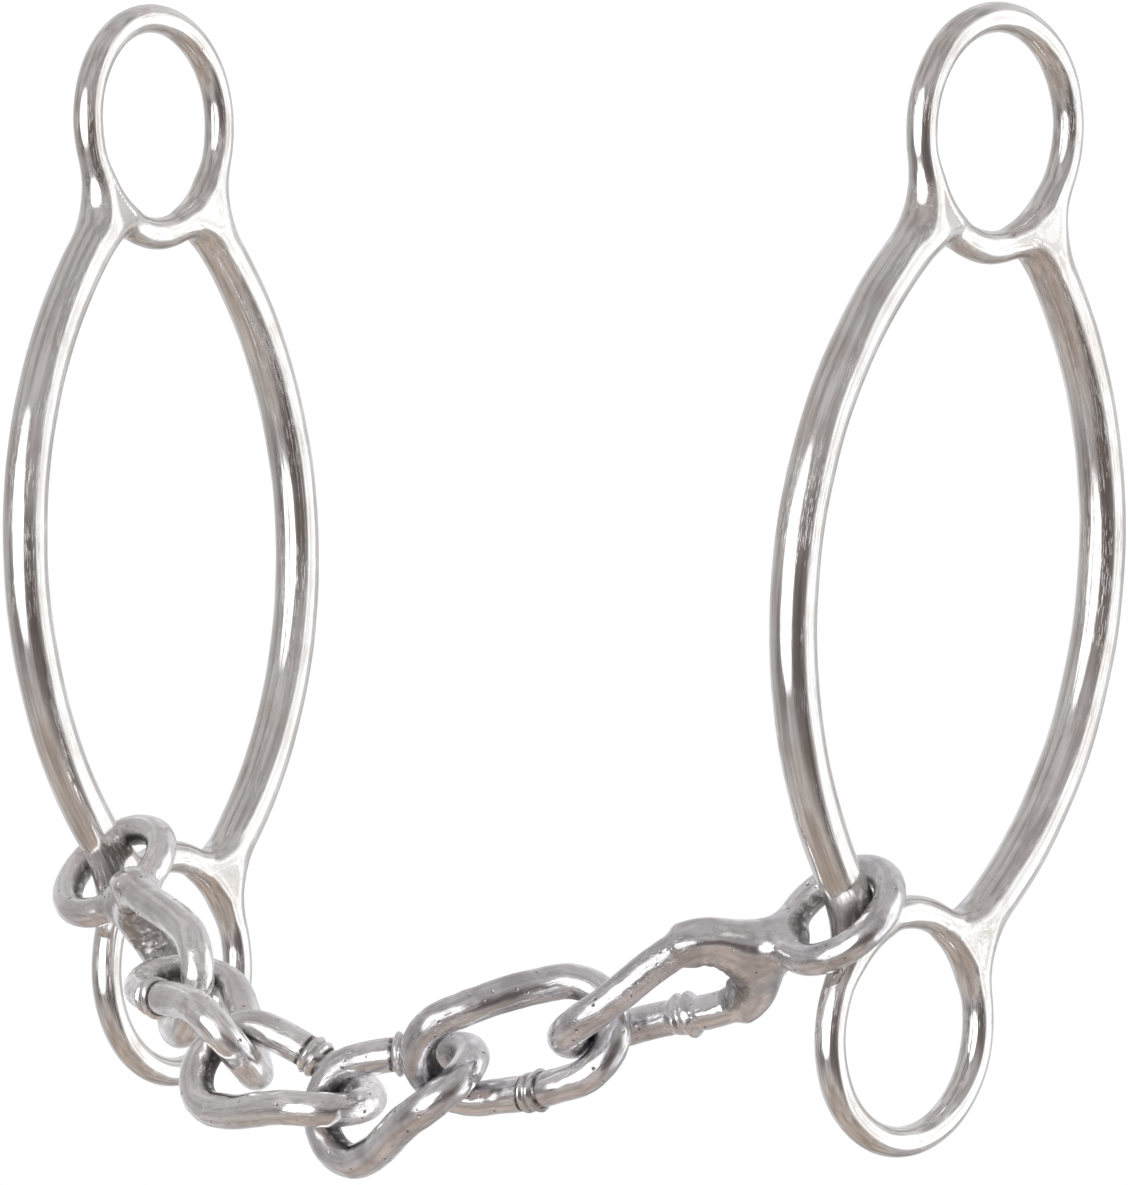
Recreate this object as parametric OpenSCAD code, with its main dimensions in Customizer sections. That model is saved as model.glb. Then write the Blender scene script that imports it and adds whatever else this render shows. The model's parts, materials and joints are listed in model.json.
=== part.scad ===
// Loop-cheek bit with a chain mouthpiece.
// Two cheeks, each a headstall ring and a rein ring joined by two bowed bars, are
// linked by a chain: a mouth end, four free twisted links and another mouth end. The
// eye of each mouth end runs up and down the front bar of its cheek.
// +X runs along the mouth to the right cheek, +Y is the rear, +Z is up, and the origin
// is the centre of the right headstall ring. The chain itself places all that lies to
// the left of the right cheek, one pair of touching bends at a time.

/* [Rings] */
// Diameter of the wire of the headstall and rein rings
ring_wire = 3.8; // [3:0.1:5]
// Clear diameter inside the rings
ring_hole = 22; // [18:0.5:28]
// Distance between the centres of a cheek's two rings
ring_span = 107; // [90:1:130]

/* [Bars] */
// Diameter of the bars
bar_d = 5.6; // [4.6:0.1:7]
// Distance between the centrelines of a cheek's two bars at mid height
loop_width = 53.8; // [44:0.2:66]
// Where a bar meets its ring, as an angle round the ring from the cheek's long axis
bar_meet = 35; // [28:1:45]

/* [Links] */
// Diameter of the wire of the links and of the mouth loops
link_wire = 4.3; // [3.5:0.1:5]
// Radius of a link's round ends, to the middle of the wire
link_bend = 6; // [5.4:0.1:8]
// Distance between the centres of a link's two round ends
link_straight = 12.4; // [9:0.2:16]
// Twist of a link from its left end to its right end
link_twist = 50; // [30:1:65]
// How far a weld bead stands proud of its wire
bead_proud = 0.4; // [0:0.1:0.8]
// Gap left between two touching wires of the chain
wire_gap = 0.15; // [0.1:0.05:0.5]

/* [Mouth ends] */
// Diameter of the wire of the eyes
eye_wire = 3.8; // [3:0.1:4.6]
// Clear width between the bar and the eye that rides on it, both sides together
eye_play = 4.6; // [4:0.1:7]
// Radius of a mouth loop's round ends, to the middle of the wire
mouth_bend = 6.6; // [5.8:0.1:8.5]
// Distance between the centres of a mouth loop's two round ends
mouth_straight = 11.8; // [9:0.2:16]
// How far the palm of a mouth loop is turned out of the plane of its eye
palm_turn = 102; // [90:1:115]
// Twist of a mouth loop from its palm to its free end
mouth_twist = 31; // [20:1:45]
// Clear gap between eye and loop that the neck bridges
neck_gap = 0.7; // [0.3:0.1:3]
// Thickness of the neck
neck_d = 4.4; // [3.4:0.1:5]
// Distance along the bar from the rein ring's joint up to the resting eye
eye_rest = 5; // [4:0.1:9]

/* [Hidden] */

$fn = 64;
polished = [0.80, 0.79, 0.78];
tumbled = [0.66, 0.65, 0.66];

// Gap between the bar and the side of the eye that lies against it
bar_gap = 0.25;

// A bar's arc runs through its two meeting points with the rings and its widest place
ring_r = (ring_hole + ring_wire) / 2;
half_width = loop_width / 2;
meet_y = ring_r * sin(bar_meet);
meet_z = ring_span / 2 - ring_r * cos(bar_meet);
bow = half_width - meet_y;
arc_r = bow / 2 + meet_z * meet_z / (2 * bow);
arc_half = asin(meet_z / arc_r);
arc_y = arc_r - half_width;
eye_angle = arc_half - eye_rest / arc_r * 180 / PI;

// An eye lies against one side of its bar, off centre by the slack
eye_r = (bar_d + eye_play + eye_wire) / 2;
slack = eye_play / 2 - bar_gap;
neck = eye_r + eye_wire / 2 + neck_gap + link_wire / 2;
loop_at = neck + mouth_bend + mouth_straight / 2;

// How the right cheek hangs: front turned in, top leant back, rings splayed
toe_in = 3;
lean_back = 5;
splay = 1.5;

// How each eye lies on its bar: the side that the bar bears on, and its turn there
right_eye_side = -128;
right_eye_turn = [4, -7.5, 35];
left_eye_side = -58;
left_eye_turn = [5, -3, -40.5];

// How each link and the left mouth end are turned against the piece that holds them on
// their right, links 1 to 4
link_turns = [[-44.5, -4.8, -29.9], [-31.1, 17.8, -24.4], [-47.3, -23.4, 8.8], [59.9, 10.3, -3.1]];
left_end_turn = [64.3, 2.6, -2.4];

// Where each pair touches, round the bend: on the right-hand piece, then on the left
link_touches = [[59, -17], [18, -40], [-36, -23], [-29, -31]];
left_end_touch = [38, -32];

// A link's weld bead: which leg it is on, and its place along it from the middle
bead_legs = [-1, 1, 1, -1];
bead_places = [-2.5, 1, 0.5, 0.5];
bead_length = 1.3;

// A mouth loop's weld bead, in the same way, and how far its palm fills round the bend
mouth_bead_leg = -1;
mouth_bead_place = 0;
palm_reach = 48;

// Steps of a swept wire round a bend, along a leg and round its section
bend_steps = 16;
leg_steps = 12;
section_steps = 14;
// Sides of the balls that the necks and palms are hulled from
ball_sides = 32;

// Rigid placements, as 4 by 4 matrices
function shift(p) = [[1, 0, 0, p.x], [0, 1, 0, p.y], [0, 0, 1, p.z], [0, 0, 0, 1]];
function turn_x(a) = [[1, 0, 0, 0], [0, cos(a), -sin(a), 0], [0, sin(a), cos(a), 0],
    [0, 0, 0, 1]];
function turn_y(a) = [[cos(a), 0, sin(a), 0], [0, 1, 0, 0], [-sin(a), 0, cos(a), 0],
    [0, 0, 0, 1]];
function turn_z(a) = [[cos(a), -sin(a), 0, 0], [sin(a), cos(a), 0, 0], [0, 0, 1, 0],
    [0, 0, 0, 1]];
function turned(t) = turn_z(t.z) * turn_y(t.y) * turn_x(t.x);
function carry(m, p, w = 1) =
    let (q = m * [p.x, p.y, p.z, w]) [q.x, q.y, q.z];
function spin(m) = [for (i = [0:3]) [m[i][0], m[i][1], m[i][2], i < 3 ? 0 : 1]];
function undo(m) =
    let (back = [for (i = [0:2]) [for (j = [0:2]) m[j][i]]],
         at = -(back * [m[0][3], m[1][3], m[2][3]]))
    [for (i = [0:3]) i < 3 ? concat(back[i], [at[i]]) : [0, 0, 0, 1]];

// A twisted loop is [half of its straight length, bend radius, left tilt, right tilt,
// place of its middle along x]. Its legs run along x, and its tilt grows evenly between
// the centres of its bends.
link_loop = [link_straight / 2, link_bend, link_twist / 2, -link_twist / 2, 0];
right_loop = [mouth_straight / 2, mouth_bend, palm_turn + mouth_twist, palm_turn, -loop_at];
left_loop = [mouth_straight / 2, mouth_bend, -palm_turn, -palm_turn - mouth_twist, loop_at];

// A point on the loop's right (+1) or left (-1) bend, and the wire's way there
function bend_tilt(loop, side) = side > 0 ? loop[3] : loop[2];
function bend_spot(loop, side, a) =
    let (tilt = bend_tilt(loop, side), w = loop[1] * sin(a))
    [loop[4] + side * (loop[0] + loop[1] * cos(a)), w * cos(tilt), w * sin(tilt)];
function bend_way(loop, side, a) =
    let (tilt = bend_tilt(loop, side))
    [-side * sin(a), cos(a) * cos(tilt), cos(a) * sin(tilt)];

// The place of a piece whose right bend hangs in the left bend of its neighbour: the
// two wires cross one wire and a gap apart, square to both
function hang(neighbour, outer, inner, turn, touch) =
    let (own = spin(neighbour) * turned(turn),
         p = carry(neighbour, bend_spot(outer, -1, touch[0])),
         q = carry(own, bend_spot(inner, 1, touch[1])),
         across = cross(carry(neighbour, bend_way(outer, -1, touch[0]), 0),
                        carry(own, bend_way(inner, 1, touch[1]), 0)),
         inward = sign(across * carry(neighbour, [1, 0, 0], 0)),
         step = inward * (link_wire + wire_gap) / norm(across))
    shift(p + step * across - q) * own;

// The place of an eye on the front bar of a cheek: z runs up the bar, y into the loop
function on_bar(side, turn) =
    shift([0, arc_y - arc_r * cos(eye_angle), -arc_r * sin(eye_angle)])
    * turn_x(eye_angle) * shift(slack * [cos(side), sin(side), 0]) * turned(turn);

right_cheek_at = turn_z(-toe_in) * turn_x(-lean_back) * turn_y(splay)
    * shift([0, 0, -ring_span / 2]);
right_end_at = right_cheek_at * on_bar(right_eye_side, right_eye_turn);
link_4_at = hang(right_end_at, right_loop, link_loop, link_turns[3], link_touches[3]);
link_3_at = hang(link_4_at, link_loop, link_loop, link_turns[2], link_touches[2]);
link_2_at = hang(link_3_at, link_loop, link_loop, link_turns[1], link_touches[1]);
link_1_at = hang(link_2_at, link_loop, link_loop, link_turns[0], link_touches[0]);
left_end_at = hang(link_1_at, link_loop, left_loop, left_end_turn, left_end_touch);
left_cheek_at = left_end_at * undo(on_bar(left_eye_side, left_eye_turn));

// The loop's centreline before the twist, as [x, width, leg], going round from the
// lower end of the right bend. leg is 1 on the upper leg, -1 on the lower and 0 in bends
function loop_plan(loop) =
    let (half = loop[0], bend = loop[1]) concat(
    [for (i = [0:bend_steps]) let (a = -90 + 180 * i / bend_steps)
        [half + bend * cos(a), bend * sin(a), 0]],
    [for (i = [1:leg_steps - 1]) [half - 2 * half * i / leg_steps, bend, 1]],
    [for (i = [0:bend_steps]) let (a = 90 + 180 * i / bend_steps)
        [-half + bend * cos(a), bend * sin(a), 0]],
    [for (i = [1:leg_steps - 1]) [-half + 2 * half * i / leg_steps, -bend, -1]]);
function tilt_at(loop, x) =
    let (share = min(max((x + loop[0]) / (2 * loop[0]), 0), 1))
    loop[2] + (loop[3] - loop[2]) * share;
function wire_r(step, bead_leg, bead_at) =
    link_wire / 2 + (step[2] == bead_leg
        ? bead_proud * exp(-pow((step[0] - bead_at) / bead_length * 2, 2)) : 0);

// A round wire bent into a twisted loop, with a weld bead on one leg
module wire_loop(loop, bead_leg, bead_at) {
    plan = loop_plan(loop);
    count = len(plan);
    tilts = [for (s = plan) tilt_at(loop, s[0])];
    path = [for (i = [0:count - 1])
        [plan[i][0] + loop[4], plan[i][1] * cos(tilts[i]), plan[i][1] * sin(tilts[i])]];
    skin = [for (i = [0:count - 1])
        let (way = path[(i + 1) % count] - path[(i + count - 1) % count],
             face = [0, -sin(tilts[i]), cos(tilts[i])],
             out = cross(way, face) / norm(cross(way, face)),
             up = cross(out, way) / norm(cross(out, way)),
             r = wire_r(plan[i], bead_leg, bead_at))
        for (j = [0:section_steps - 1])
            let (a = 360 * j / section_steps)
            path[i] + r * (out * cos(a) + up * sin(a))];
    quads = [for (i = [0:count - 1]) for (j = [0:section_steps - 1])
        let (i2 = (i + 1) % count, j2 = (j + 1) % section_steps)
        [i * section_steps + j, i * section_steps + j2,
         i2 * section_steps + j2, i2 * section_steps + j]];
    polyhedron(points = skin, faces = quads, convexity = 6);
}

// A ring of a cheek, its hole along x
module cheek_ring(up) {
    translate([0, 0, up * ring_span / 2]) rotate([0, 90, 0])
        rotate_extrude() translate([ring_r, 0]) circle(d = ring_wire);
}

// A bowed bar, coped to fit the two rings: side is -1 for the front and 1 for the rear
module cheek_bar(side) {
    difference() {
        translate([0, -side * arc_y, 0]) rotate([90, 0, 90])
            rotate_extrude(start = (side < 0 ? 180 : 0) - arc_half, angle = 2 * arc_half)
            translate([arc_r, 0]) circle(d = bar_d);
        cheek_ring(1);
        cheek_ring(-1);
    }
}

// The round eye of a mouth end, its hole along z
module eye() {
    rotate_extrude() translate([eye_r, 0]) circle(d = eye_wire);
}

// The loop of a right mouth end, with the palm and neck that join it to its eye
module mouth_loop() {
    difference() {
        union() {
            wire_loop(right_loop, mouth_bead_leg, mouth_bead_place);
            hull() {
                translate([-eye_r, 0, 0]) sphere(d = neck_d, $fn = ball_sides);
                translate([-neck, 0, 0]) sphere(d = neck_d, $fn = ball_sides);
            }
            hull() {
                for (a = [-palm_reach, 0, palm_reach])
                    translate(bend_spot(right_loop, 1, a)) sphere(d = neck_d, $fn = ball_sides);
            }
        }
        eye();
    }
}

module left_headstall_ring() { color(polished) multmatrix(left_cheek_at) cheek_ring(1); }
module left_rein_ring() { color(polished) multmatrix(left_cheek_at) cheek_ring(-1); }
module left_front_bar() { color(polished) multmatrix(left_cheek_at) cheek_bar(-1); }
module left_rear_bar() { color(polished) multmatrix(left_cheek_at) cheek_bar(1); }
module right_headstall_ring() { color(polished) multmatrix(right_cheek_at) cheek_ring(1); }
module right_rein_ring() { color(polished) multmatrix(right_cheek_at) cheek_ring(-1); }
module right_front_bar() { color(polished) multmatrix(right_cheek_at) cheek_bar(-1); }
module right_rear_bar() { color(polished) multmatrix(right_cheek_at) cheek_bar(1); }
module left_mouth_eye() { color(tumbled) multmatrix(left_end_at) eye(); }
module left_mouth_loop() { color(tumbled) multmatrix(left_end_at) rotate(180) mouth_loop(); }
module right_mouth_eye() { color(tumbled) multmatrix(right_end_at) eye(); }
module right_mouth_loop() { color(tumbled) multmatrix(right_end_at) mouth_loop(); }
module chain_link(at, number) {
    color(tumbled) multmatrix(at)
        wire_loop(link_loop, bead_legs[number - 1], bead_places[number - 1]);
}
module chain_link_1() { chain_link(link_1_at, 1); }
module chain_link_2() { chain_link(link_2_at, 2); }
module chain_link_3() { chain_link(link_3_at, 3); }
module chain_link_4() { chain_link(link_4_at, 4); }

left_headstall_ring();
left_rein_ring();
left_front_bar();
left_rear_bar();
right_headstall_ring();
right_rein_ring();
right_front_bar();
right_rear_bar();
left_mouth_eye();
left_mouth_loop();
right_mouth_eye();
right_mouth_loop();
chain_link_1();
chain_link_2();
chain_link_3();
chain_link_4();
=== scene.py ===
"""Looks of a loop-cheek bit with a chain mouth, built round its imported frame.

Every size is in millimetres until a mesh is made; meshes are in metres, in the frame's own axes:
+X runs along the mouth to the right cheek, +Y is the rear and +Z is up.
"""
import json
import logging
from dataclasses import dataclass, field, replace
from enum import Enum
from typing import Callable

import bpy
import numpy as np
from mathutils import Matrix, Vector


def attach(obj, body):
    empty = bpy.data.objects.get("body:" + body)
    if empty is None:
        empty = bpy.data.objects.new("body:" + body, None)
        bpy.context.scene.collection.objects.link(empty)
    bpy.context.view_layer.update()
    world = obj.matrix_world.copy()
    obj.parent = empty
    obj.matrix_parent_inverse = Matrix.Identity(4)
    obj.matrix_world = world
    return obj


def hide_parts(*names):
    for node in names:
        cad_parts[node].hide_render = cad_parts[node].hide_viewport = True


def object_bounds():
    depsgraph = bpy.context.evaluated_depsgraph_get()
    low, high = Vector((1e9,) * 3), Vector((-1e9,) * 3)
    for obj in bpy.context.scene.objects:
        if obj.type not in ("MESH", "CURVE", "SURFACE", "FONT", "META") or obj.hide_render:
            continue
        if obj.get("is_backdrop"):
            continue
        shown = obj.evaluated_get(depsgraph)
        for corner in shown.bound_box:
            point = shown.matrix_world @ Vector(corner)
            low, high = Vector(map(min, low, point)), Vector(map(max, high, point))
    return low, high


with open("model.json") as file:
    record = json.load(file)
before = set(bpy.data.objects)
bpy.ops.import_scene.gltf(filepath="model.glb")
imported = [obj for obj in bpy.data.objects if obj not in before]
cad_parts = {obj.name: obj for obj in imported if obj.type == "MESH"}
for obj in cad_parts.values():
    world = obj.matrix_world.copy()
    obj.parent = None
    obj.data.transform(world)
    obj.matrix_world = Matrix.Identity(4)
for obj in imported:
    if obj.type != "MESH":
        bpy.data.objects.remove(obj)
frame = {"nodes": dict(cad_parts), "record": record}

MM = 0.001
WAVE_COUNT = 9
WAVE_LEVEL = 4.2
NEAR_COUNT = 360
FIELD_COUNT = 300
OVAL_POWER = 2.6
STEPS = np.eye(3, dtype=int)
LOG = logging.getLogger("bit")
Array = np.ndarray
Field = Callable[[Array], Array]


class Side(Enum):
    """The two ends of the mouth."""

    LEFT = "left"
    RIGHT = "right"


# ---- measuring the frame


def node_triangles(name: str) -> Array:
    """The triangles of a CAD node.

    Args:
        name: the node's name.

    Returns:
        An array of shape (triangles, 3 corners, 3), in millimetres.
    """
    mesh = frame["nodes"][name].data
    mesh.calc_loop_triangles()
    spots = np.empty(len(mesh.vertices) * 3)
    mesh.vertices.foreach_get("co", spots)
    corners = np.empty(len(mesh.loop_triangles) * 3, dtype=np.int64)
    mesh.loop_triangles.foreach_get("vertices", corners)
    return spots.reshape(-1, 3)[corners].reshape(-1, 3, 3) / MM


def inertia_axes(triangles: Array) -> tuple[Array, Array]:
    """Centre and principal axes of a shell: the mean and the covariance of its area.

    A triangle's second moment is its area times (9 mm' + sum of corner cc') / 12, with m its middle.

    Args:
        triangles: corners of the shell's triangles.

    Returns:
        The centre, and a matrix whose rows are the axes from the longest extent to the shortest,
        right-handed.
    """
    edges = np.cross(triangles[:, 1] - triangles[:, 0], triangles[:, 2] - triangles[:, 0])
    area = np.linalg.norm(edges, axis=1) / 2
    middle = triangles.mean(axis=1)
    centre = (area[:, None] * middle).sum(axis=0) / area.sum()
    corners = triangles - centre
    middle = middle - centre
    spread = 9 * np.einsum("t,ti,tj->ij", area, middle, middle)
    spread += np.einsum("t,tci,tcj->ij", area, corners, corners)
    _, vectors = np.linalg.eigh(spread)
    axes = vectors.T[::-1].copy()
    axes[2] = np.cross(axes[0], axes[1])
    return centre, axes


def unit(vector: Array) -> Array:
    """The vector, or each row of vectors, over its own length."""
    return vector / np.linalg.norm(vector, axis=-1, keepdims=True)


@dataclass(frozen=True)
class Place:
    """A rigid place in the frame: rows of axes are the local x, y and z, origin is in millimetres."""

    origin: Array
    axes: Array

    def out(self, points: Array) -> Array:
        """Local points, carried into the frame."""
        return points @ self.axes + self.origin

    def back(self, points: Array) -> Array:
        """Points of the frame, seen from the local axes."""
        return (points - self.origin) @ self.axes.T


# ---- shapes as distance fields


def blend_min(a: Array, b: Array, width: float) -> Array:
    """Filleted union: min(a, b) less h * h * width / 4, with h = max(width - |a - b|, 0) / width."""
    h = np.maximum(width - np.abs(a - b), 0) / width
    return np.minimum(a, b) - h * h * width / 4


def ease(share: Array) -> Array:
    """Smooth step: 0 below 0, 1 above 1, and 3t^2 - 2t^3 between."""
    t = np.clip(share, 0, 1)
    return t * t * (3 - 2 * t)


def waves(points: Array, length: float, seed: int) -> Array:
    """Smooth unevenness between about -1 and 1: a sum of plane waves in random directions.

    Args:
        points: where it is wanted, one point a row.
        length: the typical wavelength.
        seed: which pattern.

    Returns:
        One value for each point.
    """
    draw = np.random.default_rng(seed)
    ways = unit(draw.normal(size=(WAVE_COUNT, 3))) * (2 * np.pi / length)
    ways = ways * draw.uniform(0.7, 1.5, (WAVE_COUNT, 1))
    return np.sin(points @ ways.T + draw.uniform(0, 2 * np.pi, WAVE_COUNT)).sum(axis=1) / WAVE_LEVEL


def bump(distance: Array, reach: float) -> Array:
    """A bell that is 1 at distance 0 and fades out over the reach: exp(-(distance/reach)^2)."""
    return np.exp(-((distance / reach) ** 2))


def slope(shape: Field, points: Array, span: float = 0.02) -> Array:
    """Gradient of a field by central differences over the span."""
    steps = np.eye(3) * span
    return np.stack([(shape(points + s) - shape(points - s)) / (2 * span) for s in steps], axis=1)


@dataclass
class Skin:
    """A closed surface: vertices and unit normals in millimetres, and its faces."""

    spots: Array
    normals: Array
    faces: Array


# Painted shade: the pieces darken their steel by this depth, in corners and recesses where shade falls.
def crevice(shape: Field, skin: Skin, depth: float) -> Array:
    """How deep in a corner each vertex lies: 1 less the clear height above it over the depth."""
    clear = shape(skin.spots + skin.normals * depth)
    return np.clip(1 - clear / depth, 0, 1)


def skin_of(shape: Field, low: Array, high: Array, cell: float) -> Skin:
    """The zero surface of a field, by surface nets.

    The field is sampled on a grid. Each cell that the surface crosses gets one vertex, at the mean of
    the crossings on its edges, and each grid edge that it crosses gets one face between the four
    cells round it. Newton steps, p - f * grad f / |grad f|^2, then put every vertex on the surface.

    Args:
        shape: the field, negative inside.
        low: lowest corner of the grid.
        high: highest corner of the grid.
        cell: spacing of the grid.

    Returns:
        The surface, with normals along the field's gradient.
    """
    count = np.ceil((high - low) / cell).astype(int) + 1
    ticks = [low[i] + cell * np.arange(count[i]) for i in range(3)]
    grid = np.stack(np.meshgrid(*ticks, indexing="ij"), axis=-1).reshape(-1, 3)
    value = np.concatenate([shape(part) for part in np.array_split(grid, 1 + len(grid) // 60000)])
    value = value.reshape(count)
    cells = count - 1
    total = np.zeros((*cells, 3))
    hits = np.zeros(cells)
    corner = [np.array(c) for c in np.ndindex(2, 2, 2)]
    for start in corner:
        for axis in range(3):
            if start[axis]:
                continue
            end = start + STEPS[axis]
            a = value[tuple(slice(s, s + n) for s, n in zip(start, cells))]
            b = value[tuple(slice(s, s + n) for s, n in zip(end, cells))]
            crossed = (a < 0) != (b < 0)
            share = np.where(crossed, a / np.where(crossed, a - b, 1), 0)
            total += crossed[..., None] * (start + share[..., None] * (end - start))
            hits += crossed
    used = hits > 0
    number = np.full(cells, -1)
    number[used] = np.arange(used.sum())
    places = np.argwhere(used) + total[used] / hits[used][:, None]
    spots = low + cell * places
    faces = []
    for axis in range(3):
        u, v = (axis + 1) % 3, (axis + 2) % 3
        ahead = STEPS[axis]
        inner = [slice(1, n - 1) for n in count]
        inner[axis] = slice(0, count[axis] - 1)
        shifted = [slice(s.start + ahead[i], s.stop + ahead[i]) for i, s in enumerate(inner)]
        a, b = value[tuple(inner)], value[tuple(shifted)]
        at = np.argwhere((a < 0) != (b < 0)) + [s.start for s in inner]
        leaving = value[tuple(at.T)] < 0
        du, dv = STEPS[u], STEPS[v]
        ring = [number[tuple((at - du - dv).T)], number[tuple((at - dv).T)],
                number[tuple(at.T)], number[tuple((at - du).T)]]
        quads = np.stack(ring, axis=1)
        quads[~leaving] = quads[~leaving][:, ::-1]
        faces.append(quads)
    for _ in range(3):
        way = slope(shape, spots)
        spots = spots - shape(spots)[:, None] * way / (way ** 2).sum(axis=1, keepdims=True)
    return Skin(spots, unit(slope(shape, spots)), np.concatenate(faces))


# ---- meshes


def make_piece(name: str, spots: Array, faces: Array, normals: Array | None = None,
               grain: Array | None = None, grime_and_shade: Array | None = None) -> bpy.types.Object:
    """Puts a surface into a new object at the origin.

    Args:
        name: the object's name.
        spots: vertices in millimetres, in the frame.
        faces: four vertex numbers a face, turning outwards.
        normals: a unit normal for each vertex, if the faces' own smoothing isn't wanted.
        grain: for each vertex, where it would lie if its wire were straight, in millimetres.
        grime_and_shade: for each vertex, the dirt the polishing has left and the painted shade, from 0 to
            1.

    Returns:
        The object, linked to the scene.
    """
    mesh = bpy.data.meshes.new(name)
    mesh.from_pydata((spots * MM).tolist(), [], faces.tolist())
    mesh.polygons.foreach_set("use_smooth", np.ones(len(mesh.polygons), dtype=bool))
    if grain is not None:
        layer = mesh.attributes.new("grain", "FLOAT_VECTOR", "POINT")
        layer.data.foreach_set("vector", grain.astype(np.float32).ravel())
    if grime_and_shade is not None:
        layer = mesh.attributes.new("grime_and_shade", "FLOAT", "POINT")
        layer.data.foreach_set("value", grime_and_shade.astype(np.float32))
    mesh.update()
    if normals is not None:
        mesh.normals_split_custom_set_from_vertices(normals.tolist())
    piece = bpy.data.objects.new(name, mesh)
    bpy.context.scene.collection.objects.link(piece)
    return piece


# ---- finishes


class Nodes:
    """A small helper that adds shader nodes and wires them up."""

    def __init__(self, tree: bpy.types.NodeTree) -> None:
        """Keeps the tree that the nodes go into."""
        self.tree = tree

    def add(self, kind: str, **settings: object) -> bpy.types.Node:
        """Adds a node.

        Args:
            kind: the node's type.
            settings: properties to set on it.

        Returns:
            The node.
        """
        node = self.tree.nodes.new(kind)
        for key, value in settings.items():
            setattr(node, key, value)
        return node

    def feed(self, socket: bpy.types.NodeSocket, value: object) -> None:
        """Gives an input its value.

        Args:
            socket: the input.
            value: an output to link to it, or a number or colour to set on it.
        """
        if isinstance(value, bpy.types.NodeSocket):
            self.tree.links.new(value, socket)
        else:
            socket.default_value = value

    def maths(self, operation: str, a: object, b: object = 0.0) -> bpy.types.NodeSocket:
        """One sum of two numbers.

        Args:
            operation: the math node's operation.
            a: first number or output.
            b: second number or output.

        Returns:
            The result.
        """
        node = self.add("ShaderNodeMath", operation=operation)
        self.feed(node.inputs[0], a)
        self.feed(node.inputs[1], b)
        return node.outputs[0]

    def scaled(self, vector: object, scale: tuple[float, float, float]) -> bpy.types.NodeSocket:
        """A stretched vector.

        Args:
            vector: the vector's output.
            scale: a factor for each axis.

        Returns:
            The vector times the scale.
        """
        node = self.add("ShaderNodeVectorMath", operation="MULTIPLY")
        self.feed(node.inputs[0], vector)
        node.inputs[1].default_value = scale
        return node.outputs[0]

    def noise(self, vector: object, scale: float, detail: float = 3.0) -> bpy.types.NodeSocket:
        """Cloudy noise.

        Args:
            vector: where it is read.
            scale: clouds a unit of the vector.
            detail: how many finer layers are added.

        Returns:
            A value from 0 to 1.
        """
        node = self.add("ShaderNodeTexNoise")
        self.feed(node.inputs["Vector"], vector)
        node.inputs["Scale"].default_value = scale
        node.inputs["Detail"].default_value = detail
        return node.outputs["Fac"]

    def band(self, value: object, low: float, high: float, to_low: float = 0.0,
             to_high: float = 1.0) -> bpy.types.NodeSocket:
        """A value eased from one range to another, held at the ends.

        Args:
            value: the value.
            low: where the change starts.
            high: where it ends.
            to_low: the result at low.
            to_high: the result at high.

        Returns:
            The result.
        """
        node = self.add("ShaderNodeMapRange", interpolation_type="SMOOTHSTEP")
        self.feed(node.inputs["Value"], value)
        for name, number in zip(("From Min", "From Max", "To Min", "To Max"), (low, high, to_low, to_high)):
            node.inputs[name].default_value = number
        return node.outputs["Result"]


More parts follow.
